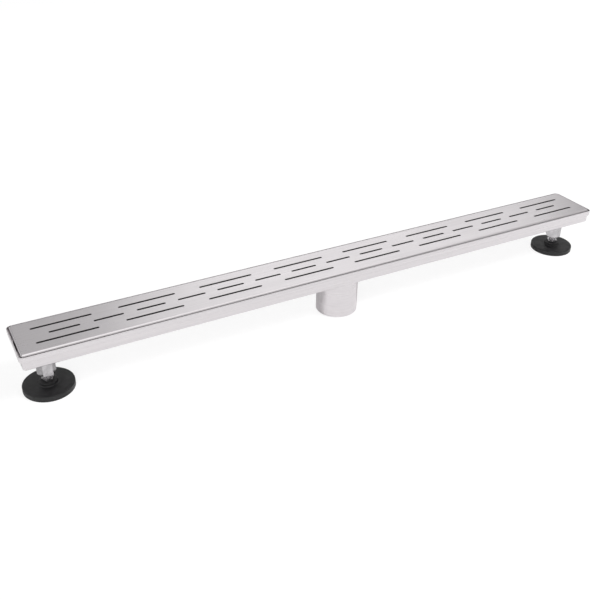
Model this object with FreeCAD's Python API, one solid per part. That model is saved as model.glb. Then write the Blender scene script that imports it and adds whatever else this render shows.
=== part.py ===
import FreeCAD, Part
import math
import os

# Channel drain for a shower floor: a folded sheet trough with a welded outlet pipe,
# a slotted cover that lifts out, and two levelling feet.
# X runs along the channel, Z is up, millimetres throughout.
# The origin is on the floor, under the middle of the channel.

# Trough
channel_length = 820.0
channel_width = 72.0
trough_depth = 18.4
trough_sheet = 1.2
rim_band_height = 7.4
ledge_width = 2.4
rim_corner_radius = 6.0
floor_bend_radius = 2.4
rim_bevel = 0.8

# Outlet
pipe_diameter = 54.0
pipe_wall = 1.5
pipe_length = 49.6
recess_depth = 1.2
recess_margin = 1.6

# Slotted cover
cover_sheet = 1.5
cover_height = 6.9
cover_gap = 1.6
cover_bend_radius = 2.5
slot_width = 2.5
slot_end_sides = 3
long_slot_length = 69.0
short_slot_length = 34.5
slot_group_pitch = 100.7
slot_row_spacing = 15.3
slot_end_margin = 10.0

# Rubber clips on the lower edge of the cover's skirt
clip_length = 14.0
clip_base = 0.8
clip_leg_height = 3.0
clip_inner_leg = 1.0
clip_outer_leg = 0.5
clip_spacing = 300.0

# Hair strainer
strainer_gap = 0.6
strainer_hole_flats = 5.0
strainer_hole_pitch = 8.5
strainer_hole_rings = 2

# Levelling feet
foot_inset = 30.6
thread_diameter = 10.0
thread_clearance = 0.08
thread_engagement = 24.0
thread_exposed = 6.5
long_nut_flats = 19.0
long_nut_height = 30.4
nut_chamfer = 0.8
collar_flats = 13.0
collar_height = 3.5
neck_diameter = 8.0
neck_clearance = 0.08
head_diameter = 13.0
head_height = 2.6
head_end_play = 0.3
running_gap = 0.1

# Foot pads
pad_diameter = 59.0
pad_rim_height = 7.0
pad_boss_diameter = 21.0
pad_boss_height = 10.8
pad_boss_roof = 3.0

# Heights above the floor, stacked up through a foot
collar_bottom = pad_boss_height + head_end_play
collar_top = collar_bottom + collar_height
nut_bottom = collar_top + thread_exposed
trough_bottom = nut_bottom + long_nut_height
stud_top = nut_bottom + thread_engagement
pocket_roof = pad_boss_height - pad_boss_roof
head_top = pocket_roof - head_end_play
head_bottom = head_top - head_height
plug_top = head_bottom - running_gap

# Heights in the trough
floor_top = trough_bottom + trough_sheet
rim_top = trough_bottom + trough_depth
band_bottom = rim_top - rim_band_height
ledge_top = band_bottom + trough_sheet
skirt_bottom = ledge_top + clip_base
cover_top = skirt_bottom + cover_height
recess_top = floor_top - recess_depth
recess_bottom = trough_bottom - recess_depth

# Radii round the outlet
pipe_outer = pipe_diameter / 2
pipe_inner = pipe_outer - pipe_wall
recess_inner = pipe_outer + recess_margin
head_pocket = head_diameter / 2 + head_end_play

# Plan sizes of the cover
cover_inset = trough_sheet + cover_gap
cover_length = channel_length - 2 * cover_inset
cover_width = channel_width - 2 * cover_inset
foot_places = {"left": foot_inset - channel_length / 2, "right": channel_length / 2 - foot_inset}


def vector(x, y, z):
    return FreeCAD.Vector(x, y, z)


def rounded_prism(length, width, radius, bottom, top):
    """A block centred on the Z axis, with its upright corners rounded."""
    block = Part.makeBox(length, width, top - bottom, vector(-length / 2, -width / 2, bottom))
    upright = [edge for edge in block.Edges if abs(edge.tangentAt(edge.FirstParameter).z) > 0.9]
    return block.makeFillet(radius, upright)


def edges_at_height(shape, height):
    """The edges that lie wholly in one level plane."""
    level = []
    for edge in shape.Edges:
        box = edge.BoundBox
        if abs(box.ZMin - height) < 1e-4 and abs(box.ZMax - height) < 1e-4:
            level.append(edge)
    return level


def revolved(points):
    """A full turn about the Z axis of an outline given as (radius, height) points."""
    outline = [vector(radius, 0, height) for radius, height in points]
    face = Part.Face(Part.makePolygon(outline + outline[:1]))
    return face.revolve(vector(0, 0, 0), vector(0, 0, 1), 360)


def hexagon_prism(across_flats, bottom, top):
    """A six-sided bar on the Z axis with two of its flats facing along Y."""
    corner = across_flats / math.sqrt(3)
    turns = [math.radians(60 * step) for step in range(6)]
    points = [vector(corner * math.cos(turn), corner * math.sin(turn), bottom) for turn in turns]
    face = Part.Face(Part.makePolygon(points + points[:1]))
    return face.extrude(vector(0, 0, top - bottom))


def nut_blank(across_flats, bottom, top):
    """A six-sided bar whose lower corners are turned off, as on a nut."""
    corner = across_flats / math.sqrt(3)
    drop = nut_chamfer * math.tan(math.radians(30))
    outline = [(0, bottom), (corner - nut_chamfer, bottom), (corner, bottom + drop), (corner, top), (0, top)]
    return hexagon_prism(across_flats, bottom, top).common(revolved(outline))


def slot_cutter(length, centre_x, centre_y, bottom, top):
    """An upright cutter for a slot along X, whose rounded ends are half polygons."""
    radius = slot_width / 2
    reach = length / 2 - radius
    points = []
    for side in (1, -1):
        for step in range(slot_end_sides + 1):
            turn = math.pi * step / slot_end_sides - math.pi / 2
            across = centre_x + side * (reach + radius * math.cos(turn))
            points.append(vector(across, centre_y + side * radius * math.sin(turn), bottom))
    face = Part.Face(Part.makePolygon(points + points[:1]))
    return face.extrude(vector(0, 0, top - bottom))


def trough_shell(inset, band_low, bottom, top):
    """The outside or the inside of the trough: a wide band above a narrower tray."""
    band_radius = max(rim_corner_radius - inset, 0.5)
    tray_inset = inset + ledge_width
    tray_radius = max(rim_corner_radius - tray_inset, 0.5)
    band = rounded_prism(channel_length - 2 * inset, channel_width - 2 * inset, band_radius, band_low, top)
    tray = rounded_prism(
        channel_length - 2 * tray_inset, channel_width - 2 * tray_inset, tray_radius, bottom, band_low
    )
    return band, tray


def make_trough():
    """The tray folded from one sheet, with a step for the cover and a pressed seat at the outlet."""
    outer_band, outer_tray = trough_shell(0, band_bottom, trough_bottom, rim_top)
    outer_band = outer_band.makeChamfer(rim_bevel, edges_at_height(outer_band, band_bottom))
    bend = min(floor_bend_radius, 0.9 * (rim_corner_radius - ledge_width))
    outer_tray = outer_tray.makeFillet(bend, edges_at_height(outer_tray, trough_bottom))
    inner_band, inner_tray = trough_shell(trough_sheet, ledge_top, floor_top, rim_top)

    # The pressed seat drops by its depth over a slope of 45 degrees
    recess_outer = recess_inner + trough_sheet * math.tan(math.radians(22.5))
    pressed = revolved(
        [
            (0, recess_bottom),
            (recess_outer, recess_bottom),
            (recess_outer + recess_depth, trough_bottom),
            (recess_outer + recess_depth, floor_top),
            (0, floor_top),
        ]
    )
    hollow = revolved(
        [
            (0, recess_top),
            (recess_inner, recess_top),
            (recess_inner + recess_depth, floor_top),
            (recess_inner + recess_depth, ledge_top),
            (0, ledge_top),
        ]
    )
    outlet = Part.makeCylinder(pipe_inner, trough_depth, vector(0, 0, recess_bottom))
    body = outer_band.fuse([outer_tray, pressed]).removeSplitter()
    return body.cut([inner_band, inner_tray, hollow, outlet]).removeSplitter()


def make_outlet_pipe():
    """The spigot welded under the pressed seat."""
    foot = vector(0, 0, recess_bottom - pipe_length)
    tube = Part.makeCylinder(pipe_outer, pipe_length, foot)
    return tube.cut(Part.makeCylinder(pipe_inner, pipe_length, foot))


def slot_cutters():
    """Groups of two long slots beside a short one, with one short slot between groups."""
    flat_length = cover_length - 2 * cover_bend_radius
    spare = flat_length - 2 * slot_end_margin - long_slot_length
    groups = int(spare // slot_group_pitch) + 1
    bottom = cover_top - 2 * cover_sheet
    top = cover_top + cover_sheet
    cutters = []
    for group in range(groups):
        centre = (group - (groups - 1) / 2) * slot_group_pitch
        for row in (-slot_row_spacing, slot_row_spacing):
            cutters.append(slot_cutter(long_slot_length, centre, row, bottom, top))
        cutters.append(slot_cutter(short_slot_length, centre, 0, bottom, top))
        if group + 1 < groups:
            between = centre + slot_group_pitch / 2
            cutters.append(slot_cutter(short_slot_length, between, 0, bottom, top))
    return cutters


def make_cover():
    """The pressed cover: a slotted plate with its four edges turned down."""
    outer_corner = max(rim_corner_radius - cover_inset, cover_bend_radius + 0.2)
    outer = rounded_prism(cover_length, cover_width, outer_corner, skirt_bottom, cover_top)
    outer = outer.makeFillet(cover_bend_radius, edges_at_height(outer, cover_top))
    inner_length = cover_length - 2 * cover_sheet
    inner_width = cover_width - 2 * cover_sheet
    inner_top = cover_top - cover_sheet
    corner = vector(-inner_length / 2, -inner_width / 2, skirt_bottom - cover_sheet)
    inner = Part.makeBox(inner_length, inner_width, inner_top - corner.z, corner)
    inner_bend = max(cover_bend_radius - cover_sheet, 0.3)
    inner = inner.makeFillet(inner_bend, edges_at_height(inner, inner_top))
    return outer.cut([inner] + slot_cutters())


def make_clip(centre_x, centre_y, heading):
    """A rubber channel pushed on the skirt's edge, its outer leg facing along the heading."""
    skirt_outer = 0.0
    skirt_inner = skirt_outer - cover_sheet
    outline = [
        (skirt_outer, skirt_bottom),
        (skirt_outer, skirt_bottom + clip_leg_height),
        (skirt_outer + clip_outer_leg, skirt_bottom + clip_leg_height),
        (skirt_outer + clip_outer_leg, ledge_top),
        (skirt_inner - clip_inner_leg, ledge_top),
        (skirt_inner - clip_inner_leg, skirt_bottom + clip_leg_height),
        (skirt_inner, skirt_bottom + clip_leg_height),
        (skirt_inner, skirt_bottom),
    ]
    points = [vector(across, -clip_length / 2, height) for across, height in outline]
    clip = Part.Face(Part.makePolygon(points + points[:1])).extrude(vector(0, clip_length, 0))
    clip.rotate(vector(0, 0, 0), vector(0, 0, 1), heading)
    clip.translate(vector(centre_x, centre_y, 0))
    return clip


def make_clips():
    """Three clips on each long edge of the cover and one on each end."""
    clips = {}
    for step in range(3):
        along = (step - 1) * clip_spacing
        clips["edge_clip_front_%d" % (step + 1)] = make_clip(along, -cover_width / 2, -90)
        clips["edge_clip_back_%d" % (step + 1)] = make_clip(along, cover_width / 2, 90)
    clips["edge_clip_left_end"] = make_clip(-cover_length / 2, 0, 180)
    clips["edge_clip_right_end"] = make_clip(cover_length / 2, 0, 0)
    return clips


def make_strainer():
    """A perforated disc that drops into the pressed seat, flush with the trough's floor."""
    disc = Part.makeCylinder(recess_inner - strainer_gap, recess_depth, vector(0, 0, recess_top))
    hole = hexagon_prism(strainer_hole_flats, recess_top - recess_depth, floor_top + recess_depth)
    holes = [hole]
    for ring in range(1, strainer_hole_rings + 1):
        reach = ring * strainer_hole_pitch
        for step in range(6 * ring):
            turn = 2 * math.pi * step / (6 * ring)
            holes.append(hole.translated(vector(reach * math.cos(turn), reach * math.sin(turn), 0)))
    return disc.cut(holes)


def make_long_nut():
    """The long hexagon nut welded under the trough, bored for the stud."""
    bore = thread_diameter / 2 + thread_clearance
    hole = Part.makeCylinder(bore, long_nut_height, vector(0, 0, nut_bottom))
    return nut_blank(long_nut_flats, nut_bottom, trough_bottom).cut(hole)


def make_stud():
    """The threaded stud, its hexagon collar, its neck and the round head held in the pad."""
    thread = thread_diameter / 2
    neck = neck_diameter / 2
    head = head_diameter / 2
    turned = revolved(
        [
            (0, head_bottom),
            (head, head_bottom),
            (head, head_top),
            (neck, head_top),
            (neck, collar_bottom),
            (thread, collar_bottom),
            (thread, stud_top),
            (0, stud_top),
        ]
    )
    collar = hexagon_prism(collar_flats, collar_bottom, collar_top)
    return turned.fuse(collar).removeSplitter()


def make_pad_base():
    """The moulded plastic pad, with a raised boss whose pocket holds the stud's head."""
    rim = pad_diameter / 2
    boss = pad_boss_diameter / 2
    neck_hole = neck_diameter / 2 + neck_clearance
    return revolved(
        [
            (neck_hole, pad_boss_height),
            (boss, pad_boss_height),
            (boss, pad_rim_height),
            (rim, pad_rim_height),
            (rim, 0),
            (head_pocket, 0),
            (head_pocket, pocket_roof),
            (neck_hole, pocket_roof),
        ]
    )


def make_pad_plug():
    """The plug pressed into the pad from below, which the stud's head turns on."""
    return Part.makeCylinder(head_pocket, plug_top)


def make_feet():
    """The pieces of both feet, each at its own end of the channel."""
    pieces = {}
    makers = {
        "long_nut": make_long_nut,
        "foot_stud": make_stud,
        "pad_base": make_pad_base,
        "pad_plug": make_pad_plug,
    }
    for side, place in foot_places.items():
        for name, maker in makers.items():
            piece = maker()
            piece.translate(vector(place, 0, 0))
            pieces["%s_%s" % (name, side)] = piece
    return pieces


def main():
    pieces = {
        "channel_trough": make_trough(),
        "outlet_pipe": make_outlet_pipe(),
        "slotted_cover": make_cover(),
        "hair_strainer": make_strainer(),
    }
    pieces.update(make_clips())
    pieces.update(make_feet())
    os.makedirs("parts", exist_ok=True)
    for name, shape in pieces.items():
        shape.exportStep("parts/%s.step" % name)
        box = shape.BoundBox
        print(
            "%-22s solids %d valid %s volume %.0f z %.2f to %.2f"
            % (name, len(shape.Solids), shape.isValid(), shape.Volume, box.ZMin, box.ZMax)
        )


main()
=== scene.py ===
"""The looks of a channel drain for a shower floor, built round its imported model.

Every length is in metres, in the model's own frame: X along the channel, Y across it, Z up.
The model gives where each piece lies. The classes here give each piece its rounded edges,
threads, welds and finishes.
"""
import logging
import math
from dataclasses import dataclass, field
from enum import Enum
from typing import Any

import bpy
import numpy as np
from mathutils import Matrix, Vector
from mathutils.geometry import delaunay_2d_cdt


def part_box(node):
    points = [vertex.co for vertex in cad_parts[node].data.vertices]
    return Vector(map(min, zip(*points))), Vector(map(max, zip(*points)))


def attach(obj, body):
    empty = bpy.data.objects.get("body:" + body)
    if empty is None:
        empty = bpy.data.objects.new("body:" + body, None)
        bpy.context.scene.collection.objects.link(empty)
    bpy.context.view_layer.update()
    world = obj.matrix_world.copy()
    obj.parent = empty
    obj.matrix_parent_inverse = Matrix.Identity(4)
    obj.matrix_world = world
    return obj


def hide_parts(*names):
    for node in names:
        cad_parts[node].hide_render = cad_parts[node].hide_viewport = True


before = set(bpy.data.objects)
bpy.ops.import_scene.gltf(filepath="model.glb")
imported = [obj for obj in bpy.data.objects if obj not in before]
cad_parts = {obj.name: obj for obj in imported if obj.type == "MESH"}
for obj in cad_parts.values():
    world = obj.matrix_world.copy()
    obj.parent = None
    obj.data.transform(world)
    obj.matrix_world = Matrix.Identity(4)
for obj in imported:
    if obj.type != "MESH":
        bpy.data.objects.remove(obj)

Array = np.ndarray
Pair = tuple[float, float]
Triple = tuple[float, float, float]
Material = bpy.types.Material
Piece = bpy.types.Object
Socket = bpy.types.NodeSocket
Tree = bpy.types.NodeTree

MM = 0.001
# How far in from the ends of a straight stretch its flat shading starts.
MARGIN = 0.3 * MM
# Points nearer than this are one point, and corners that turn less than this have no arc.
SAME_PLACE = 1e-7
STRAIGHT = 1e-6
# What the triangulation is asked for: only the inside, with points joined at this many mm.
INSIDE_ONLY = 1
JOINED_MM = 1e-6
# Most of a noise's levels lie in this span.
NOISE_SPAN = (0.3, 0.7)
NOISE_ROUGHNESS = 0.6
EASED = {"interpolation_type": "SMOOTHSTEP"}
LOG = logging.getLogger("channel_drain")


class Body(Enum):
    """The bodies of the model that a piece can ride on."""

    DRAIN = "drain"
    LEFT_PAD = "left_pad"
    LEFT_STUD = "left_stud"
    RIGHT_PAD = "right_pad"
    RIGHT_STUD = "right_stud"


class Slot(Enum):
    """The names of the record's material slots for the new pieces, which nothing here gives to them.
    """

    STAINLESS = "stainless_sheet"
    ZINC = "zinc_plate"
    NYLON = "pad_plastic"


# Outlines and profiles


@dataclass(frozen=True)
class Loop:
    """A closed path in plan, run anticlockwise, with the outward unit normal at each point."""

    points: Array
    normals: Array

    def offset(self, distance: float) -> Array:
        """The same path moved outward by a distance."""
        return self.points + distance * self.normals


def rounded_rectangle(length: float, width: float, radius: float, steps: int = 8) -> Loop:
    """A rectangle about the origin: at each corner a quarter circle about the corner's centre.

    Args:
        length: Size along X.
        width: Size along Y.
        radius: Radius of the corners.
        steps: Number of chords in each corner.

    Returns:
        The loop, starting at the lower right corner.
    """
    turns = np.linspace(0, math.pi / 2, steps + 1)
    quarter = np.arange(4)[:, None] * (math.pi / 2) - math.pi / 2
    angles = quarter + turns[None, :]
    normals = np.stack([np.cos(angles), np.sin(angles)], axis=-1)
    signs = np.array([[1, -1], [1, 1], [-1, 1], [-1, -1]])
    centres = signs * np.array([length / 2 - radius, width / 2 - radius])
    points = centres[:, None, :] + radius * normals
    return Loop(points.reshape(-1, 2), normals.reshape(-1, 2))


def circle(radius: float, steps: int, centre: Pair = (0.0, 0.0)) -> Loop:
    """A circle: the centre plus the radius times (cos, sin) of an even run of angles.

    Args:
        radius: Its radius.
        steps: Number of chords.
        centre: Its centre in plan.

    Returns:
        The loop, starting on the right.
    """
    angles = np.linspace(0, 2 * math.pi, steps, endpoint=False)
    normals = np.stack([np.cos(angles), np.sin(angles)], axis=-1)
    return Loop(np.array(centre) + radius * normals, normals)


def slot_outline(length: float, width: float, centre: Pair, steps: int = 8) -> Loop:
    """A slot along X: two half circles, each about its own end of the middle line.

    Args:
        length: Size along X, over the rounded ends.
        width: Size along Y.
        centre: The middle in plan.
        steps: Number of chords in each end.

    Returns:
        The loop, starting at the lower right.
    """
    radius = width / 2
    turns = np.linspace(-math.pi / 2, math.pi / 2, steps + 1)
    angles = np.concatenate([turns, turns + math.pi])
    normals = np.stack([np.cos(angles), np.sin(angles)], axis=-1)
    shift = np.repeat([[1, 0], [-1, 0]], steps + 1, axis=0) * (length / 2 - radius)
    return Loop(np.array(centre) + shift + radius * normals, normals)


def rounded_profile(corners: list[Triple], steps: int = 6) -> Array:
    """An open outline in section whose corners are arcs.

    Each corner (across, height, radius) becomes an arc that touches both of its sides: the
    tangent length is the radius over the tangent of half the corner's angle, and the arc is
    swept evenly between the two tangent points about its centre.

    Args:
        corners: The corners with their radii. The first and the last have no arc.
        steps: Number of chords in each arc.

    Returns:
        The points of the outline, (N, 2).
    """
    places = np.array([corner[:2] for corner in corners])
    parts = [places[:1]]
    for index in range(1, len(corners) - 1):
        radius = corners[index][2]
        here = places[index]
        back = (places[index - 1] - here) / np.linalg.norm(places[index - 1] - here)
        ahead = (places[index + 1] - here) / np.linalg.norm(places[index + 1] - here)
        angle = math.acos(float(np.clip(back @ ahead, -1, 1)))
        if radius <= 0 or angle > math.pi - STRAIGHT:
            parts.append(here[None, :])
            continue
        middle = (back + ahead) / np.linalg.norm(back + ahead)
        centre = here + middle * radius / math.sin(angle / 2)
        reach = radius / math.tan(angle / 2)
        first = here + back * reach - centre
        last = here + ahead * reach - centre
        share = np.linspace(0, 1, steps + 1)[:, None]
        sweep = math.pi - angle
        arc = np.sin((1 - share) * sweep) * first + np.sin(share * sweep) * last
        parts.append(centre + arc / math.sin(sweep))
    parts.append(places[-1:])
    points = np.concatenate(parts)
    apart = np.linalg.norm(np.diff(points, axis=0), axis=1) > SAME_PLACE
    return held(points[np.concatenate([[True], apart])])


def held(points: Array) -> Array:
    """The same outline with a point a margin in from each end of its long straight stretches.

    Those are the ones over three margins long. The faces between the new points keep flat
    shading, and only the margins blend into the arcs.

    Args:
        points: The points of the outline, (N, 2).

    Returns:
        The points with the new ones among them.
    """
    steps = np.diff(points, axis=0)
    lengths = np.linalg.norm(steps, axis=1)
    inset = steps * (MARGIN / lengths)[:, None]
    rows = np.stack([points[:-1], points[:-1] + inset, points[1:] - inset], axis=1)
    long = lengths > 3 * MARGIN
    keep = np.stack([np.ones_like(long), long, long], axis=1)
    return np.concatenate([rows[keep], points[-1:]])


# Meshes


class Shell:
    """Gathers grids and flat faces of one piece, and makes one closed mesh of them."""

    def __init__(self) -> None:
        """Starts with no points and no faces."""
        self.points: list[Array] = []
        self.faces: list[Array] = []
        self.layers: list[int] = []
        self.count = 0

    def add_points(self, points: Array) -> Array:
        """Adds points.

        Args:
            points: The points, in a grid of any shape.

        Returns:
            Their numbers, in the shape of the grid.
        """
        flat = points.reshape(-1, 3)
        numbers = np.arange(len(flat)) + self.count
        self.points.append(flat)
        self.count += len(flat)
        return numbers.reshape(points.shape[:-1])

    def add_faces(self, faces: Array, layer: int = 0) -> None:
        """Adds faces that all have the same number of corners, in one of the piece's finishes."""
        self.faces.append(faces)
        self.layers += [layer] * len(faces)

    def add_grid(self, numbers: Array, close_rows: bool = False, layer: int = 0) -> None:
        """Adds a quad between each point, the next in its row, and those two in the next row.

        Args:
            numbers: Point numbers, one row for each step of the profile, running round in a row.
            close_rows: Whether the last row joins the first.
            layer: Which of the piece's finishes it takes.
        """
        ahead = np.roll(numbers, -1, axis=1)
        below = np.roll(numbers, -1, axis=0)
        across = np.roll(ahead, -1, axis=0)
        quads = np.stack([numbers, below, across, ahead], axis=-1)
        rows = quads if close_rows else quads[:-1]
        self.add_faces(rows.reshape(-1, 4), layer)

    def add_fan(self, numbers: Array, tip: Array, turned: bool) -> None:
        """Closes a ring with triangles that meet in one point.

        Args:
            numbers: The ring's point numbers.
            tip: The point where they meet, (3,).
            turned: Whether the triangles face the other way.
        """
        middle = np.full(len(numbers), int(self.add_points(tip[None, :])[0]))
        ahead = np.roll(numbers, -1)
        order = [middle, ahead, numbers] if turned else [middle, numbers, ahead]
        self.add_faces(np.stack(order, axis=-1))

    def build(self, name: str, *finishes: Material, sharp_deg: float = 38.0) -> Piece:
        """Makes the object.

        Args:
            name: The piece's name.
            finishes: Its finishes, in the order of the layers.
            sharp_deg: Edges that turn by more than this many degrees stay sharp.

        Returns:
            The object, at the origin, with its place in its mesh.
        """
        mesh = bpy.data.meshes.new(name)
        faces = [face for group in self.faces for face in group.tolist()]
        mesh.from_pydata(np.concatenate(self.points).tolist(), [], faces)
        mesh.shade_smooth()
        mesh.set_sharp_from_angle(angle=math.radians(sharp_deg))
        for finish in finishes:
            mesh.materials.append(finish)
        mesh.polygons.foreach_set("material_index", self.layers)
        mesh.validate()
        piece = bpy.data.objects.new(name, mesh)
        bpy.context.scene.collection.objects.link(piece)
        return piece


def lifted(plan: Array, height: float) -> Array:
    """Plan points at one height."""
    return np.concatenate([plan, np.full((len(plan), 1), height)], axis=1)


def swept(loop: Loop, profile: Array) -> Array:
    """A profile carried round a loop: each point moves out by its distance, at its height."""
    return np.stack([lifted(loop.offset(out), height) for out, height in profile])


def inside(points: Array, outline: Array) -> Array:
    """Finds the points inside an outline: a level ray from each crosses it an odd number of times.

    Args:
        points: The points in plan.
        outline: The closed outline.

    Returns:
        A truth value for each point.
    """
    ahead = np.roll(outline, -1, axis=0)
    x, y = points[:, 0][:, None], points[:, 1][:, None]
    straddles = (outline[:, 1] > y) != (ahead[:, 1] > y)
    rise = np.where(ahead[:, 1] == outline[:, 1], 1, ahead[:, 1] - outline[:, 1])
    crossing = outline[:, 0] + (y - outline[:, 1]) * (ahead[:, 0] - outline[:, 0]) / rise
    return (straddles & (x < crossing)).sum(axis=1) % 2 == 1


def plate_triangles(outer: Array, holes: list[Array]) -> Array:
    """Triangles that fill a flat outline but not its holes.

    Args:
        outer: The outline in plan.
        holes: The outlines of the holes.

    Returns:
        Triangles as numbers of the points, the outer ones first and then each hole's in turn.
    """
    loops = [outer] + holes
    plan = np.concatenate(loops) / MM
    starts = np.cumsum([0] + [len(loop) for loop in loops])
    edges = []
    for start, end in zip(starts[:-1], starts[1:]):
        numbers = np.arange(start, end)
        edges += np.stack([numbers, np.roll(numbers, -1)], axis=1).tolist()
    places = [Vector(point) for point in plan.tolist()]
    found = delaunay_2d_cdt(places, edges, [], INSIDE_ONLY, JOINED_MM)
    origin = np.array([numbers[0] for numbers in found[3]])
    triangles = origin[np.array(found[2])]
    middles = plan[triangles].mean(axis=1)
    keep = inside(middles, outer / MM)
    for hole in holes:
        keep &= ~inside(middles, hole / MM)
    triangles = triangles[keep]
    first, second, third = (plan[triangles[:, corner]] for corner in range(3))
    along, across = second - first, third - first
    area = along[:, 0] * across[:, 1] - along[:, 1] * across[:, 0]
    triangles[area < 0] = triangles[area < 0][:, ::-1]
    return triangles


def pierced_sheet(
    outer: tuple[Loop, Array], holes: list[tuple[Loop, Array]], layer: int = 0
) -> Shell:
    """A sheet with holes: two flat faces, joined by a profile carried round each loop.

    Every profile starts on the upper flat face and ends on the lower one, so both flat faces
    share one set of triangles.

    Args:
        outer: The outer loop and its profile.
        holes: Each hole's loop and profile.
        layer: Which of the piece's finishes the holes' edges take.

    Returns:
        The closed shell.
    """
    shell = Shell()
    rings = [shell.add_points(swept(loop, profile)) for loop, profile in [outer] + holes]
    shell.add_grid(rings[0])
    for ring in rings[1:]:
        shell.add_grid(ring[:, ::-1], layer=layer)
    outlines = [loop.offset(profile[0, 0]) for loop, profile in [outer] + holes]
    triangles = plate_triangles(outlines[0], outlines[1:])
    shell.add_faces(np.concatenate([ring[0] for ring in rings])[triangles])
    shell.add_faces(np.concatenate([ring[-1] for ring in rings])[triangles][:, ::-1])
    return shell


def closed_grid(points: Array) -> Shell:
    """Makes a shell of a grid that is closed both ways.

    Args:
        points: The grid. Its rows run round, and its last row joins its first.

    Returns:
        The closed shell.
    """
    shell = Shell()
    shell.add_grid(shell.add_points(points), close_rows=True)
    return shell


def about_line(radii: Array, heights: Array, angles: Array, centre: Pair) -> Array:
    """Points about an upright line: the centre plus the radius times (cos, sin) of the angle.

    Args:
        radii: Radii, one row for each height and one column for each angle.
        heights: The height of each row.
        angles: The angle of each column.
        centre: Plan place of the line.

    Returns:
        The grid of points.
    """
    x = centre[0] + radii * np.cos(angles)
    y = centre[1] + radii * np.sin(angles)
    z = np.broadcast_to(heights[:, None], radii.shape)
    return np.stack([x, y, z], axis=-1)


def hexagon_radius(flats: float, blunt: float) -> tuple[Array, Array]:
    """The outline of a hexagon with blunted corners, as a radius for each angle.

    The radius is half the flats over the cosine of the angle from the nearest flat's middle,
    and no more than the blunted corner's. Each flat has six angles, and each corner one.

    Args:
        flats: Size across the flats.
        blunt: The share of the full corner's radius that is left.

    Returns:
        The angles and the radii. Two of the flats face along Y.
    """
    corner = blunt * flats / math.sqrt(3)
    edge = math.acos(flats / 2 / corner)
    side = np.append(edge * np.linspace(-1, 1, 6), math.pi / 6)
    middles = np.arange(6) * (math.pi / 3) + math.pi / 6
    angles = (middles[:, None] + side[None, :]).ravel()
    radii = np.minimum(flats / 2 / np.cos(np.tile(side, 6)), corner)
    return angles, radii


def resampled(loop: Loop, spacing: float) -> Loop:
    """The same loop with evenly spaced points, by linear steps along its length.

    Args:
        loop: The loop.
        spacing: The distance between the new points.

    Returns:
        The new loop.
    """
    points = np.concatenate([loop.points, loop.points[:1]])
    normals = np.concatenate([loop.normals, loop.normals[:1]])
    run = np.concatenate([[0], np.cumsum(np.linalg.norm(np.diff(points, axis=0), axis=1))])
    at = np.linspace(0, run[-1], int(run[-1] / spacing), endpoint=False)
    place = np.stack([np.interp(at, run, points[:, axis]) for axis in range(2)], axis=-1)
    facing = np.stack([np.interp(at, run, normals[:, axis]) for axis in range(2)], axis=-1)
    return Loop(place, facing / np.linalg.norm(facing, axis=1)[:, None])


@dataclass(frozen=True)
class WeldBead:
    """A fillet weld laid in short steps, each a small ripple along the seam.

    The middle line lies a share of the radius under the joint. A ripple leans by a part of a
    turn from the bead's inner side to its outer side.
    """

    radius: float
    ripple: float = 1.4 * MM
    ripple_height: float = 0.14
    ripple_lean: float = 0.9
    ripple_points: int = 5
    section_steps: int = 12
    sunk: float = 0.3
    sharp_deg: float = 80.0

    def build(self, name: str, seam: Loop, joint: float, finish: Material) -> Piece:
        """Makes the bead: a tube round the seam whose radius rises and falls once a ripple.

        Args:
            name: The piece's name.
            seam: The middle line of the bead in plan.
            joint: The height of the joint that it fills.
            finish: The weld metal.

        Returns:
            The bead.
        """
        path = resampled(seam, self.ripple / self.ripple_points)
        ripples = round(len(path.points) / self.ripple_points)
        along = np.linspace(0, 2 * math.pi * ripples, len(path.points), endpoint=False)
        turn = np.linspace(0, -2 * math.pi, self.section_steps, endpoint=False)[:, None]
        wave = np.sin(along + self.ripple_lean * np.cos(turn))
        radius = self.radius * (1 + self.ripple_height * wave)
        plan = path.points[None] + (radius * np.cos(turn))[..., None] * path.normals[None]
        height = joint - self.sunk * self.radius + radius * np.sin(turn)
        points = np.concatenate([plan, height[..., None]], axis=-1)
        return closed_grid(points).build(name, finish, sharp_deg=self.sharp_deg)


# Finishes


def linear(colour: str) -> tuple[float, float, float, float]:
    """An sRGB colour turned to linear light: the standard curve with its straight foot.

    Args:
        colour: Six hex digits.

    Returns:
        Red, green, blue and full opacity.
    """
    shares = [int(colour[place : place + 2], 16) / 255 for place in (0, 2, 4)]
    red, green, blue = (
        share / 12.92 if share <= 0.04045 else ((share + 0.055) / 1.055) ** 2.4
        for share in shares
    )
    return red, green, blue, 1.0


def add_node(
    tree: Tree,
    kind: str,
    values: dict[str | int, Any] | None = None,
    **settings: Any,
) -> bpy.types.Node:
    """Adds a node, sets it and links it.

    Args:
        tree: The tree that it goes in.
        kind: The node's type.
        values: For each input, a value, or another node's output to link.
        settings: The node's own properties.

    Returns:
        The node.
    """
    node = tree.nodes.new(kind)
    for name, value in settings.items():
        setattr(node, name, value)
    for key, value in (values or {}).items():
        if isinstance(value, bpy.types.NodeSocket):
            tree.links.new(value, node.inputs[key])
        else:
            node.inputs[key].default_value = value
    return node


def new_material(name: str) -> tuple[Material, Tree]:
    """Starts a material.

    Args:
        name: Its name.

    Returns:
        The material and its empty tree.
    """
    material = bpy.data.materials.new(name)
    material.use_nodes = True
    material.node_tree.nodes.clear()
    return material, material.node_tree


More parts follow.
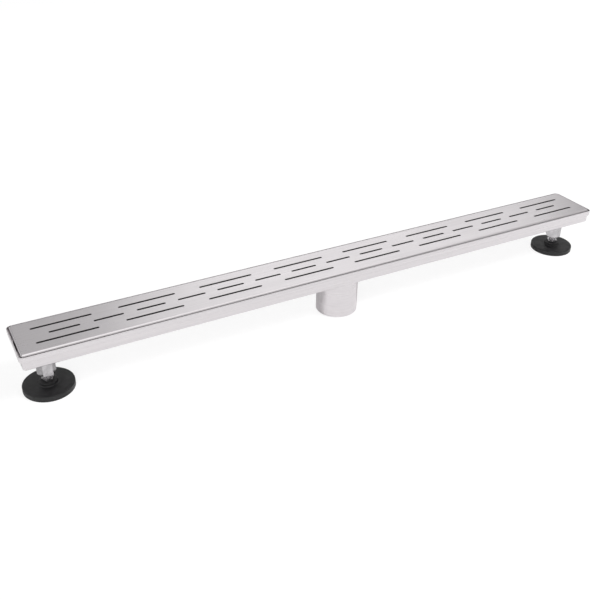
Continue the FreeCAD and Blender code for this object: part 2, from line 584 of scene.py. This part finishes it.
def noise(tree: Tree, size: Triple, detail: float) -> Socket:
    """Noise on the object's own coordinates, whose blots have a real size.

    Args:
        tree: The material's nodes.
        size: The blots' size along X, Y and Z.
        detail: How many finer layers are added to it.

    Returns:
        The noise's level.
    """
    place = add_node(tree, "ShaderNodeTexCoord").outputs["Object"]
    scale = tuple(1 / length for length in size)
    mapped = add_node(tree, "ShaderNodeMapping", {"Vector": place, "Scale": scale})
    values = {"Vector": mapped.outputs["Vector"], "Scale": 1.0, "Detail": detail}
    values["Roughness"] = NOISE_ROUGHNESS
    return add_node(tree, "ShaderNodeTexNoise", values).outputs["Fac"]


def spread(value: Socket, span: Pair, levels: tuple[Any, Any]) -> dict[str, Any]:
    """The inputs that take a value from a span to a span of levels."""
    names = ("Value", "From Min", "From Max", "To Min", "To Max")
    return dict(zip(names, (value, *span, *levels)))


def clad(
    tree: Tree,
    colours: tuple[str, str],
    mixing: Socket,
    relief: tuple[Socket, float],
    inputs: dict[str, Any],
) -> None:
    """Makes a surface: a noise mixes its two colours, and a noise gives it relief.

    Args:
        tree: The material's nodes.
        colours: The sRGB colours at the low and the high end of the mixing noise.
        mixing: The noise that mixes them.
        relief: The noise that gives the height, and the height at its full level.
        inputs: What else the surface is told.
    """
    share = add_node(tree, "ShaderNodeMapRange", spread(mixing, NOISE_SPAN, (0.0, 1.0)))
    ends = {"Factor": share.outputs["Result"], "A": linear(colours[0]), "B": linear(colours[1])}
    tint = add_node(tree, "ShaderNodeMix", ends, data_type="RGBA")
    heights = {"Height": relief[0], "Strength": 1.0, "Distance": relief[1]}
    bump = add_node(tree, "ShaderNodeBump", heights)
    shown = {"Base Color": tint.outputs["Result"], "Normal": bump.outputs["Normal"]}
    shader = add_node(tree, "ShaderNodeBsdfPrincipled", inputs | shown)
    add_node(tree, "ShaderNodeOutputMaterial", {"Surface": shader.outputs[0]})


@dataclass(frozen=True)
class BrushedSteel:
    """Stainless steel, ground, drawn, punched or welded: a satin sheen, streaked along its grain.

    The real grain is about 0.1 mm across, and is drawn coarser so that it shows. Wide clouds
    change the roughness a little, as the pressure of the belt does.
    """

    name: str
    grain: Triple
    light: str = "e7e3e5"
    dark: str = "dedadc"
    roughness: Pair = (0.27, 0.36)
    streak_detail: float = 3.0
    streak_depth: float = 0.02 * MM
    cloud_size: float = 90 * MM
    cloud_detail: float = 2.0
    cloud_roughness: float = 0.025

    def build(self) -> Material:
        """Makes the finish: streaks drive the colour, the roughness and a shallow relief.

        Returns:
            The material.
        """
        material, tree = new_material(self.name)
        streaks = noise(tree, self.grain, self.streak_detail)
        clouds = noise(tree, (self.cloud_size,) * 3, self.cloud_detail)
        rough = add_node(tree, "ShaderNodeMapRange", spread(streaks, NOISE_SPAN, self.roughness))
        drift = (-self.cloud_roughness, self.cloud_roughness)
        change = add_node(tree, "ShaderNodeMapRange", spread(clouds, NOISE_SPAN, drift))
        parts = {0: rough.outputs["Result"], 1: change.outputs["Result"]}
        total = add_node(tree, "ShaderNodeMath", parts, operation="ADD")
        inputs = {"Metallic": 1.0, "Roughness": total.outputs[0]}
        clad(tree, (self.light, self.dark), streaks, (streaks, self.streak_depth), inputs)
        return material


@dataclass(frozen=True)
class ZincPlate:
    """Steel turned on a lathe and bright zinc plated: a mirror-like neutral grey, slightly clouded."""

    name: str = "bright_zinc_plate"
    light: str = "cfcdcf"
    dark: str = "b3b1b3"
    roughness: Pair = (0.1, 0.2)
    cloud_size: float = 6.0 * MM
    cloud_detail: float = 4.0
    cloud_depth: float = 0.003 * MM

    def build(self) -> Material:
        """Makes the finish: small clouds drive the colour, the roughness and a shallow relief.

        Returns:
            The material.
        """
        material, tree = new_material(self.name)
        clouds = noise(tree, (self.cloud_size,) * 3, self.cloud_detail)
        rough = add_node(tree, "ShaderNodeMapRange", spread(clouds, NOISE_SPAN, self.roughness))
        inputs = {"Metallic": 1.0, "Roughness": rough.outputs["Result"]}
        clad(tree, (self.light, self.dark), clouds, (clouds, self.cloud_depth), inputs)
        return material


@dataclass(frozen=True)
class BlackPolymer:
    """A black moulded or extruded polymer: near black, dull, with a fine grain from its tool."""

    name: str
    light: str
    dark: str
    roughness: Pair
    grain_size: float
    grain_depth: float
    ior: float
    grain_detail: float = 2.0
    cloud_grains: float = 12.0
    cloud_detail: float = 3.0

    def build(self) -> Material:
        """Makes the finish: the grain gives the relief, and clouds the colour and the roughness.

        Returns:
            The material.
        """
        material, tree = new_material(self.name)
        grain = noise(tree, (self.grain_size,) * 3, self.grain_detail)
        clouds = noise(tree, (self.cloud_grains * self.grain_size,) * 3, self.cloud_detail)
        rough = add_node(tree, "ShaderNodeMapRange", spread(clouds, NOISE_SPAN, self.roughness))
        inputs = {"Roughness": rough.outputs["Result"], "IOR": self.ior}
        clad(tree, (self.light, self.dark), clouds, (grain, self.grain_depth), inputs)
        return material


def made(finish: BrushedSteel | ZincPlate | BlackPolymer) -> Any:
    """A dataclass field whose value is the finish's material, built when it is first needed."""
    return field(default_factory=finish.build)


@dataclass(frozen=True)
class Finishes:
    """Every finish on the drain: steel in four states, zinc plate, moulded nylon and rubber.

    Punched edges are dull, and their dark grey is partly painted shade for the walls of the slots and
    holes. Weld metal is warm and uneven.
    """

    sheet: Material = made(BrushedSteel("stainless_brushed_sheet", (240 * MM, 1.3 * MM, 1.3 * MM)))
    tube: Material = made(BrushedSteel("stainless_drawn_tube", (30 * MM, 30 * MM, 1.1 * MM)))
    # The walls of the slots and holes: a dull steel, darkened with painted shade where the recess lies
    # in shade.
    punched_edge_and_shade: Material = made(
        BrushedSteel("stainless_punched_edge_painted_shade", (2 * MM,) * 3, "7c7a7b", "626061", (0.4, 0.55))
    )
    weld: Material = made(
        BrushedSteel("stainless_weld_metal", (2 * MM,) * 3, "c9c4bc", "9a938c", (0.25, 0.45))
    )
    zinc: Material = made(ZincPlate())
    nylon: Material = made(
        BlackPolymer(
            "nylon_black_moulded", "1b1b1c", "131314", (0.42, 0.58), 0.9 * MM, 0.03 * MM, 1.53
        )
    )
    rubber: Material = made(
        BlackPolymer(
            "rubber_black_extruded", "1d1d1d", "141414", (0.65, 0.8), 0.7 * MM, 0.02 * MM, 1.52
        )
    )


# The drain


@dataclass(frozen=True)
class Placed:
    """Puts a finished piece on its body, in place of the nodes it stands for. The slot that it holds
    is not used.
    """

    body: Body
    slot: Slot

    def put(self, piece: Piece, *nodes: str) -> None:
        """Seats one piece.

        Args:
            piece: The piece.
            nodes: The model's nodes that it stands for, if any.
        """
        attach(piece, self.body.value)
        if nodes:
            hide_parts(*nodes)
        LOG.info("%s: %d faces on %s", piece.name, len(piece.data.polygons), self.body.value)


@dataclass(frozen=True)
class Extent:
    """The box of one of the model's nodes at rest."""

    length: float
    width: float
    centre: Pair
    bottom: float
    top: float

    @classmethod
    def of(cls, node: str) -> "Extent":
        """Reads a node's box.

        Args:
            node: The node's name.

        Returns:
            Its sizes, its middle in plan and its lowest and highest levels.
        """
        low, high = (np.array(corner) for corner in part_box(node))
        length, width = (high - low)[:2]
        x, y = (high + low)[:2] / 2
        return cls(length, width, (x, y), low[2], high[2])


@dataclass
class Cover:
    """The pressed cover: a slotted plate with its edges bent down into a skirt."""

    finishes: Finishes
    sheet: float = 1.5 * MM
    bend_radius: float = 2.5 * MM
    bend_steps: int = 8
    corner_radius: float = 0.7 * MM
    edge_round: float = 0.35 * MM
    slot_width: float = 2.5 * MM
    long_slot: float = 69.0 * MM
    short_slot: float = 34.5 * MM
    group_pitch: float = 100.7 * MM
    row_spacing: float = 15.3 * MM
    groups: int = 8
    slot_round: float = 0.1 * MM

    def slot_loops(self) -> list[Loop]:
        """The slots: a long one on each side of a short one, and a short one between groups.

        Each group brings the one that follows it, and none follows the last group.

        Returns:
            Their outlines, group by group.
        """
        group = (
            (self.long_slot, 0.0, -self.row_spacing),
            (self.long_slot, 0.0, self.row_spacing),
            (self.short_slot, 0.0, 0.0),
            (self.short_slot, self.group_pitch / 2, 0.0),
        )
        middles = (np.arange(self.groups) - (self.groups - 1) / 2) * self.group_pitch
        loops = [
            slot_outline(length, self.slot_width, (middle + along, across))
            for middle in middles
            for length, along, across in group
        ]
        return loops[:-1]

    def build(self) -> Piece:
        """Makes the cover: the bend and skirt are one profile carried round the flat plate.

        Returns:
            The cover.
        """
        box = Extent.of("slotted_cover")
        bend, top, bottom = self.bend_radius, box.top, box.bottom
        plate = rounded_rectangle(box.length - 2 * bend, box.width - 2 * bend, self.corner_radius)
        skirt = rounded_profile(
            [
                (-MARGIN, top, 0),
                (bend, top, bend),
                (bend, bottom, self.edge_round),
                (bend - self.sheet, bottom, self.edge_round),
                (bend - self.sheet, top - self.sheet, bend - self.sheet),
                (-MARGIN, top - self.sheet, 0),
            ],
            steps=self.bend_steps,
        )
        small = self.slot_round
        wall = rounded_profile([(small + MARGIN, top, 0), (0, top, small), (0, top - self.sheet, 0)])
        # The slot walls take the punched finish, whose darkness is partly painted shade.
        shell = pierced_sheet((plate, skirt), [(loop, wall) for loop in self.slot_loops()], layer=1)
        return shell.build("slotted_cover_pressed", self.finishes.sheet, self.finishes.punched_edge_and_shade)


@dataclass
class Trough:
    """The folded trough: a band for the cover, a step, a narrower tray and the outlet's seat."""

    finishes: Finishes
    sheet: float = 1.2 * MM
    band_height: float = 7.4 * MM
    depth: float = 18.4 * MM
    ledge: float = 2.4 * MM
    corner_radius: float = 6.0 * MM
    floor_bend: float = 2.4 * MM
    band_bend: float = 0.9 * MM
    step_bend: float = 0.5 * MM
    under_bend: float = 0.4 * MM
    rim_inner_round: float = 0.36 * MM
    rim_outer_round: float = 0.816 * MM
    seat_radius: float = 28.6 * MM
    seat_depth: float = 1.2 * MM
    seat_bend: float = 0.6 * MM
    seat_shift: float = 0.492 * MM
    seat_steps: int = 96
    seat_bend_steps: int = 4
    outlet_radius: float = 25.5 * MM
    outlet_round: float = 0.3 * MM

    def seat_profile(self, floor: float, under: float) -> Array:
        """The pressed seat: a slope down from the floor, a flat ring, and the same underneath.

        Args:
            floor: The level of the floor inside.
            under: The level of its underside.

        Returns:
            The profile, as distances from the outlet's middle and heights.
        """
        depth, bend, radius = self.seat_depth, self.seat_bend, self.seat_radius
        lower = radius + self.seat_shift
        return rounded_profile(
            [
                (radius + depth + bend, floor, 0),
                (radius + depth, floor, bend),
                (radius, floor - depth, bend),
                (self.outlet_radius, floor - depth, self.outlet_round),
                (self.outlet_radius, under - depth, self.outlet_round),
                (lower, under - depth, bend),
                (lower + depth, under, bend),
                (lower + depth + 2 * bend, under, 0),
            ],
            steps=self.seat_bend_steps,
        )

    def build(self) -> Piece:
        """Makes the trough: its walls are one profile, from the floor over the rim and back under.

        Returns:
            The trough.
        """
        box = Extent.of("channel_trough")
        sheet, rim = self.sheet, box.top
        under = rim - self.depth
        floor, band = under + sheet, rim - self.band_height
        inner = self.floor_bend - sheet
        inset = self.ledge + sheet + inner
        shelf = inner + self.ledge
        flat = rounded_rectangle(
            box.length - 2 * inset, box.width - 2 * inset, self.corner_radius - inset
        )
        walls = rounded_profile(
            [
                (-MARGIN, floor, 0),
                (inner, floor, inner),
                (inner, band + sheet, self.step_bend),
                (shelf, band + sheet, self.step_bend),
                (shelf, rim, self.rim_inner_round),
                (shelf + sheet, rim, self.rim_outer_round),
                (shelf + sheet, band, self.band_bend),
                (inner + sheet, band, self.under_bend),
                (inner + sheet, under, self.floor_bend),
                (-MARGIN, under, 0),
            ]
        )
        outlet = (circle(0.0, self.seat_steps), self.seat_profile(floor, under))
        shell = pierced_sheet((flat, walls), [outlet])
        return shell.build("channel_trough_folded", self.finishes.sheet)


@dataclass
class Outlet:
    """The outlet: a tube welded under the trough's seat, and the strainer that lies in it."""

    finishes: Finishes
    wall: float = 1.5 * MM
    edge_round: float = 0.3 * MM
    steps: int = 96
    strainer_holes: float = 5.0 * MM
    strainer_pitch: float = 8.5 * MM
    strainer_rings: int = 2
    ring_holes: int = 6
    hole_steps: int = 20
    weld: WeldBead = field(default_factory=lambda: WeldBead(1.1 * MM))
    weld_gap: float = 0.22 * MM

    def build_tube(self) -> Piece:
        """Makes the tube: a turned ring whose edges are broken.

        Returns:
            The tube.
        """
        box = Extent.of("outlet_pipe")
        outer, small = box.length / 2, self.edge_round
        inner = outer - self.wall
        profile = rounded_profile(
            [
                (inner + small, box.top, 0),
                (outer, box.top, small),
                (outer, box.bottom, small),
                (inner, box.bottom, small),
                (inner, box.top, small),
                (inner + small, box.top, 0),
            ]
        )[:-1]
        points = swept(circle(0.0, self.steps, box.centre), profile)
        return closed_grid(points).build("outlet_tube", self.finishes.tube)

    def build_weld(self) -> Piece:
        """Makes the weld in the corner between the tube and the seat.

        Returns:
            The weld.
        """
        box = Extent.of("outlet_pipe")
        seam = circle(box.length / 2 + self.weld_gap, self.steps, box.centre)
        return self.weld.build("outlet_weld", seam, box.top, self.finishes.weld)

    def hole_loops(self) -> list[Loop]:
        """The strainer's holes: one in the middle and rings of six, twelve and so on round it.

        Returns:
            Their outlines, from the middle out.
        """
        radius, steps = self.strainer_holes / 2, self.hole_steps
        loops = [circle(radius, steps)]
        for ring in range(1, self.strainer_rings + 1):
            reach = ring * self.strainer_pitch
            for step in range(self.ring_holes * ring):
                turn = 2 * math.pi * step / (self.ring_holes * ring)
                loops.append(circle(radius, steps, (reach * math.cos(turn), reach * math.sin(turn))))
        return loops

    def build_strainer(self) -> Piece:
        """Makes the strainer: a pierced disc whose rim and holes have broken edges.

        Returns:
            The strainer.
        """
        box = Extent.of("hair_strainer")
        top, bottom, small = box.top, box.bottom, self.edge_round
        flat = small + MARGIN
        rim = rounded_profile(
            [(-flat, top, 0), (0, top, small), (0, bottom, small), (-flat, bottom, 0)]
        )
        wall = rounded_profile([(flat, top, 0), (0, top, small), (0, bottom, 0)])
        disc = circle(box.length / 2, self.steps, box.centre)
        # The hole walls take the punched finish, whose darkness is partly painted shade.
        shell = pierced_sheet((disc, rim), [(loop, wall) for loop in self.hole_loops()], layer=1)
        return shell.build("hair_strainer_pierced", self.finishes.sheet, self.finishes.punched_edge_and_shade)


@dataclass
class LevellingFoot:
    """One foot: a long nut under the trough, a threaded stud in it, and the pad that it turns in."""

    finishes: Finishes
    side: str
    pitch: float = 1.5 * MM
    thread_depth: float = 0.92 * MM
    thread_diameter: float = 9.96 * MM
    thread_steps: int = 10
    flank_rise: float = 2.6
    root_width: float = 0.15
    stud_point: float = 1.3 * MM
    chamfer_deg: float = 30.0
    corner_left: float = 0.985
    nut_flats: float = 19.0 * MM
    nut_chamfer: float = 0.8 * MM
    nut_chamfer_steps: int = 6
    nut_bore: float = 10.16 * MM
    nut_mouth: float = 0.6 * MM
    collar_flats: float = 13.0 * MM
    collar_chamfer: float = 0.5 * MM
    collar_chamfer_steps: int = 3
    collar_low: float = 11.1 * MM
    collar_high: float = 14.6 * MM
    neck: float = 8.0 * MM
    neck_hole: float = 8.16 * MM
    head: float = 13.0 * MM
    head_height: float = 2.6 * MM
    head_round: float = 0.3 * MM
    head_steps: int = 4
    pad_top: float = 7.0 * MM
    pad_round: float = 1.3 * MM
    pad_foot: float = 0.5 * MM
    boss: float = 21.0 * MM
    boss_round: float = 1.0 * MM
    boss_fillet: float = 1.6 * MM
    boss_roof: float = 3.0 * MM
    pocket: float = 13.6 * MM
    steps: int = 96
    round_steps: int = 8
    sharp_deg: float = 20.0
    weld: WeldBead = field(default_factory=lambda: WeldBead(0.9 * MM))
    weld_gap: float = 0.27 * MM
    weld_corner_left: float = 0.97

    def node(self, kind: str) -> str:
        """The name of this foot's node of a kind."""
        return f"{kind}_{self.side}"

    def centre(self) -> Pair:
        """Plan place of the foot's axis."""
        return Extent.of(self.node("foot_stud")).centre

    def build_nut(self) -> Piece:
        """Makes the long nut: a hexagon bar, its lower corners turned off and its bore chamfered.

        At each angle the smaller of the profile's and the hexagon's radius holds.

        Returns:
            The nut.
        """
        box = Extent.of(self.node("long_nut"))
        corner, bore = self.nut_flats / math.sqrt(3), self.nut_bore / 2
        drop = self.nut_chamfer * math.tan(math.radians(self.chamfer_deg))
        cone = np.linspace(
            (corner, box.bottom + drop),
            (corner - self.nut_chamfer, box.bottom),
            self.nut_chamfer_steps + 1,
        )
        mouth = [(bore + self.nut_mouth, box.bottom), (bore, box.bottom + self.nut_mouth)]
        profile = np.concatenate([[(bore, box.top), (corner, box.top)], cone, mouth])
        angles, radii = hexagon_radius(self.nut_flats, self.corner_left)
        reach = np.minimum(profile[:, :1], radii[None, :])
        shell = closed_grid(about_line(reach, profile[:, 1], angles, self.centre()))
        name = self.node("long_nut_turned")
        return shell.build(name, self.finishes.zinc, sharp_deg=self.sharp_deg)

    def build_nut_weld(self) -> Piece:
        """Makes the weld round the nut's upper end, against the trough.

        Returns:
            The weld.
        """
        box = Extent.of(self.node("long_nut"))
        angles, radii = hexagon_radius(self.nut_flats + self.weld_gap, self.weld_corner_left)
        facing = np.stack([np.cos(angles), np.sin(angles)], axis=-1)
        seam = Loop(np.array(self.centre()) + radii[:, None] * facing, facing)
        return self.weld.build(self.node("long_nut_weld"), seam, box.top, self.finishes.weld)

    def thread_radii(self, heights: Array, angles: Array) -> Array:
        """The screw's surface: a wave along the height that climbs one pitch in a turn.

        The phase is the height over the pitch less the angle over a full turn. The wave rises
        and falls evenly with it, and its crest and root are cut flat. A cone blunts the upper end.

        Args:
            heights: The height of each row.
            angles: The angle of each column.

        Returns:
            The radius at each height and angle.
        """
        phase = np.mod(heights[:, None] / self.pitch - angles[None, :] / (2 * math.pi), 1)
        wave = np.clip(self.flank_rise * np.abs(phase - 0.5) - self.root_width, 0, 1)
        crest = self.thread_diameter / 2
        radii = crest - self.thread_depth * (1 - wave)
        cone = crest - self.stud_point + (heights.max() - heights)[:, None]
        return np.minimum(radii, cone)

    def build_stud(self) -> Piece:
        """Makes the stud in one surface, from the screw's end down over the collar to the head.

        The rows of the collar take the smaller of the hexagon's and the chamfer's radius. The
        rows of the screw, the neck and the head are round.

        Returns:
            The stud.
        """
        box = Extent.of(self.node("foot_stud"))
        angles, hexagon = hexagon_radius(self.collar_flats, self.corner_left)
        thread_rows = round((box.top - self.collar_high) / self.pitch * self.thread_steps)
        thread_z = np.linspace(box.top, self.collar_high, thread_rows + 1)
        trim = self.collar_chamfer
        share = np.linspace(0, 1, self.collar_chamfer_steps + 1)
        limits = self.collar_flats / math.sqrt(3) - trim * (1 - share)
        rise = trim * math.tan(math.radians(self.chamfer_deg)) * share
        collar = np.minimum(np.concatenate([limits, limits[::-1]])[:, None], hexagon[None, :])
        neck, head, small = self.neck / 2, self.head / 2, self.head_round
        shoulder = box.bottom + self.head_height
        lower = rounded_profile(
            [
                (neck, self.collar_low, 0),
                (neck, shoulder, small),
                (head, shoulder, small),
                (head, box.bottom, small),
                (head / 2, box.bottom, 0),
            ],
            steps=self.head_steps,
        )
        rounds = np.broadcast_to(lower[:, :1], (len(lower), len(angles)))
        rows = np.concatenate([self.thread_radii(thread_z, angles), collar, rounds])
        heights = np.concatenate(
            [thread_z, self.collar_high - rise, self.collar_low + rise[::-1], lower[:, 1]]
        )
        centre = self.centre()
        shell = Shell()
        grid = shell.add_points(about_line(rows, heights, angles, centre))
        shell.add_grid(grid)
        shell.add_fan(grid[0], np.array([*centre, heights[0]]), False)
        shell.add_fan(grid[-1], np.array([*centre, heights[-1]]), True)
        name = self.node("foot_stud_threaded")
        return shell.build(name, self.finishes.zinc, sharp_deg=self.sharp_deg)

    def build_pad(self) -> Piece:
        """Makes the pad: a moulded disc with soft edges and a boss over the stud's head.

        Returns:
            The pad.
        """
        box = Extent.of(self.node("pad_base"))
        rim, boss, bore = box.length / 2, self.boss / 2, self.neck_hole / 2
        pocket, roof = self.pocket / 2, box.top - self.boss_roof
        profile = rounded_profile(
            [
                (bore + self.head_round, box.top, 0),
                (boss, box.top, self.boss_round),
                (boss, self.pad_top, self.boss_fillet),
                (rim, self.pad_top, self.pad_round),
                (rim, box.bottom, self.pad_foot),
                (pocket, box.bottom, 0),
                (pocket, roof, 0),
                (bore, roof, 0),
                (bore, box.top, self.head_round),
                (bore + self.head_round, box.top, 0),
            ],
            steps=self.round_steps,
        )[:-1]
        points = swept(circle(0.0, self.steps, self.centre()), profile)
        return closed_grid(points).build(self.node("pad_moulded"), self.finishes.nylon)


# The studio


@dataclass(frozen=True)
class Lamp:
    """A soft rectangular lamp that faces a point, which shiny surfaces may mirror or not."""

    name: str
    place: Triple
    aim: Triple
    size: Pair
    watts: float
    mirrored: bool

    def add(self) -> None:
        """Adds the lamp to the scene."""
        lamp = bpy.data.lights.new(self.name, "AREA")
        lamp.shape = "RECTANGLE"
        lamp.size, lamp.size_y = self.size
        lamp.energy = self.watts
        holder = bpy.data.objects.new(self.name, lamp)
        heading = Vector(self.aim) - Vector(self.place)
        turn = heading.to_track_quat("-Z", "Y").to_matrix().to_4x4()
        holder.matrix_world = Matrix.Translation(Vector(self.place)) @ turn
        holder.visible_glossy = self.mirrored
        bpy.context.scene.collection.objects.link(holder)


@dataclass(frozen=True)
class Studio:
    """A pale floor, soft lamps and the camera at the photograph's place.

    The lamps are a wide one behind for the sheen on the cover, and a key and a fill in front.
    """

    floor_size: float = 12.0
    floor_drop: float = 0.1 * MM
    floor_grey: str = "fafafa"
    seen_grey: str = "848484"
    floor_glow: float = 0.84
    mirrored_glow: float = 0.07
    diffuse_sky: float = 0.4
    horizon_sky: float = 1.12
    far_horizon_sky: float = 0.04
    middle_sky: float = 0.376
    zenith_sky: float = 1.28
    middle_height: float = 0.45
    far_side: Triple = (0.66, 0.75, 0.0)
    far_side_span: Pair = (0.1, 0.7)
    lamps: tuple[Lamp, ...] = (
        Lamp("sheen_lamp", (1.16, 1.87, 1.26), (0.0, 0.0, 0.07), (1.9, 0.9), 4.0, True),
        Lamp("key_lamp", (2.6, -2.4, 4.2), (0.0, 0.0, 0.03), (1.6, 1.6), 165.0, False),
        Lamp("fill_lamp", (-1.3, -1.1, 0.9), (-0.3, -0.1, 0.0), (0.8, 0.8), 6.5, False),
    )
    camera_place: Triple = (-0.48807, -0.78454, 0.56751)
    camera_right: Triple = (0.88009, -0.47464, 0.01259)
    camera_up: Triple = (0.23611, 0.46050, 0.85568)
    camera_back: Triple = (-0.41194, -0.75010, 0.51735)
    lens_mm: float = 48.776
    sensor_mm: float = 36.0

    def build_floor(self) -> None:
        """Makes the floor: it takes the shadows, and glows to the camera so that it reads as white.

        Shiny surfaces see its paper with a faint glow.
        """
        half = self.floor_size / 2
        corners = half * np.array([(-1, -1), (1, -1), (1, 1), (-1, 1)])
        mesh = bpy.data.meshes.new("studio_floor")
        mesh.from_pydata(lifted(corners, -self.floor_drop).tolist(), [], [(0, 1, 2, 3)])
        material, tree = new_material("studio_floor_paper")
        rays = add_node(tree, "ShaderNodeLightPath").outputs
        seen = rays["Is Camera Ray"]
        greys = {"Factor": seen, "A": linear(self.floor_grey), "B": linear(self.seen_grey)}
        grey = add_node(tree, "ShaderNodeMix", greys, data_type="RGBA")
        paper = add_node(tree, "ShaderNodeBsdfDiffuse", {"Color": grey.outputs["Result"]})
        kinds = {0: rays["Is Glossy Ray"], 1: rays["Is Transmission Ray"]}
        shiny = add_node(tree, "ShaderNodeMath", kinds, operation="MAXIMUM")
        shares = {0: shiny.outputs[0], 1: self.mirrored_glow}
        faint = add_node(tree, "ShaderNodeMath", shares, operation="MULTIPLY")
        glows = {"Factor": seen, "A": faint.outputs[0], "B": self.floor_glow}
        strength = add_node(tree, "ShaderNodeMix", glows, data_type="FLOAT")
        glow = add_node(tree, "ShaderNodeEmission", {"Strength": strength.outputs["Result"]})
        both = add_node(tree, "ShaderNodeAddShader", {0: paper.outputs[0], 1: glow.outputs[0]})
        add_node(tree, "ShaderNodeOutputMaterial", {"Surface": both.outputs[0]})
        mesh.materials.append(material)
        floor = bpy.data.objects.new("studio_floor", mesh)
        bpy.context.scene.collection.objects.link(floor)

    def mirrored_sky(self, tree: Tree) -> Socket:
        """What shiny surfaces mirror: a horizon that is bright but for its far side, and a ceiling.

        How far a heading lies to the far side is its dot product with that side's direction,
        and its height is the sine of its angle above the horizon. The horizon's level eases
        from bright to dark across the far side's span. From there the level eases to the
        middle's at the middle height, and on to the zenith's.

        Args:
            tree: The world's nodes.

        Returns:
            The level for each heading.
        """
        heading = add_node(tree, "ShaderNodeTexCoord").outputs["Generated"]
        height = add_node(tree, "ShaderNodeSeparateXYZ", {"Vector": heading}).outputs["Z"]
        sides = {0: heading, 1: self.far_side}
        side = add_node(tree, "ShaderNodeVectorMath", sides, operation="DOT_PRODUCT")
        ends = (self.horizon_sky, self.far_horizon_sky)
        across = spread(side.outputs["Value"], self.far_side_span, ends)
        horizon = add_node(tree, "ShaderNodeMapRange", across, **EASED).outputs["Result"]
        lower = spread(height, (0.0, self.middle_height), (horizon, self.middle_sky))
        walls = add_node(tree, "ShaderNodeMapRange", lower, **EASED).outputs["Result"]
        rest = (0.0, self.zenith_sky - self.middle_sky)
        upper = spread(height, (self.middle_height, 1.0), rest)
        ceiling = add_node(tree, "ShaderNodeMapRange", upper, **EASED).outputs["Result"]
        return add_node(tree, "ShaderNodeMath", {0: walls, 1: ceiling}, operation="ADD").outputs[0]

    def build_sky(self) -> None:
        """Makes the surroundings: white to the camera, a shaded room to shiny surfaces.

        Diffuse surfaces get the same level from all of it.
        """
        world = bpy.data.worlds.new("studio_surroundings")
        world.use_nodes = True
        tree = world.node_tree
        tree.nodes.clear()
        rays = add_node(tree, "ShaderNodeLightPath").outputs
        level: Any = self.diffuse_sky
        for ray, shown in (("Is Glossy Ray", self.mirrored_sky(tree)), ("Is Camera Ray", 1.0)):
            ends = {"Factor": rays[ray], "A": level, "B": shown}
            level = add_node(tree, "ShaderNodeMix", ends, data_type="FLOAT").outputs["Result"]
        shining = {"Color": linear("ffffff"), "Strength": level}
        sky = add_node(tree, "ShaderNodeBackground", shining)
        add_node(tree, "ShaderNodeOutputWorld", {"Surface": sky.outputs[0]})
        bpy.context.scene.world = world

    def build_camera(self) -> None:
        """Adds the camera, turned by its three axes."""
        camera = bpy.data.cameras.new("studio_camera")
        camera.sensor_width = self.sensor_mm
        camera.lens = self.lens_mm
        holder = bpy.data.objects.new("studio_camera", camera)
        axes = Matrix((self.camera_right, self.camera_up, self.camera_back)).transposed()
        holder.matrix_world = Matrix.Translation(Vector(self.camera_place)) @ axes.to_4x4()
        bpy.context.scene.collection.objects.link(holder)
        bpy.context.scene.camera = holder

    def build(self) -> None:
        """Sets the whole studio up."""
        bpy.context.scene.view_settings.view_transform = "Standard"
        self.build_floor()
        self.build_sky()
        for lamp in self.lamps:
            lamp.add()
        self.build_camera()


def dress_nodes(finishes: Finishes) -> None:
    """Gives the model's own small pieces, the clips and plugs, their finishes.

    Args:
        finishes: The finishes.
    """
    worn = {"edge_clip_": finishes.rubber, "pad_plug_": finishes.nylon}
    for name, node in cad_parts.items():
        for start, finish in worn.items():
            if name.startswith(start):
                node.data.materials.clear()
                node.data.materials.append(finish)
                LOG.info("%s keeps its own shape", name)


def main() -> None:
    """Builds the pieces, dresses the rest, and sets up the studio."""
    logging.basicConfig(level=logging.INFO, format="%(name)s %(message)s")
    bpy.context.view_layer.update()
    finishes = Finishes()
    drain = Placed(Body.DRAIN, Slot.STAINLESS)
    nuts = Placed(Body.DRAIN, Slot.ZINC)
    drain.put(Trough(finishes).build(), "channel_trough")
    drain.put(Cover(finishes).build(), "slotted_cover")
    outlet = Outlet(finishes)
    drain.put(outlet.build_tube(), "outlet_pipe")
    drain.put(outlet.build_weld())
    drain.put(outlet.build_strainer(), "hair_strainer")
    left = ("left", Body.LEFT_PAD, Body.LEFT_STUD)
    right = ("right", Body.RIGHT_PAD, Body.RIGHT_STUD)
    for side, pad, stud in (left, right):
        foot = LevellingFoot(finishes, side)
        nuts.put(foot.build_nut(), foot.node("long_nut"))
        drain.put(foot.build_nut_weld())
        Placed(stud, Slot.ZINC).put(foot.build_stud(), foot.node("foot_stud"))
        Placed(pad, Slot.NYLON).put(foot.build_pad(), foot.node("pad_base"))
    dress_nodes(finishes)
    Studio().build()


if __name__ == "__main__":
    main()
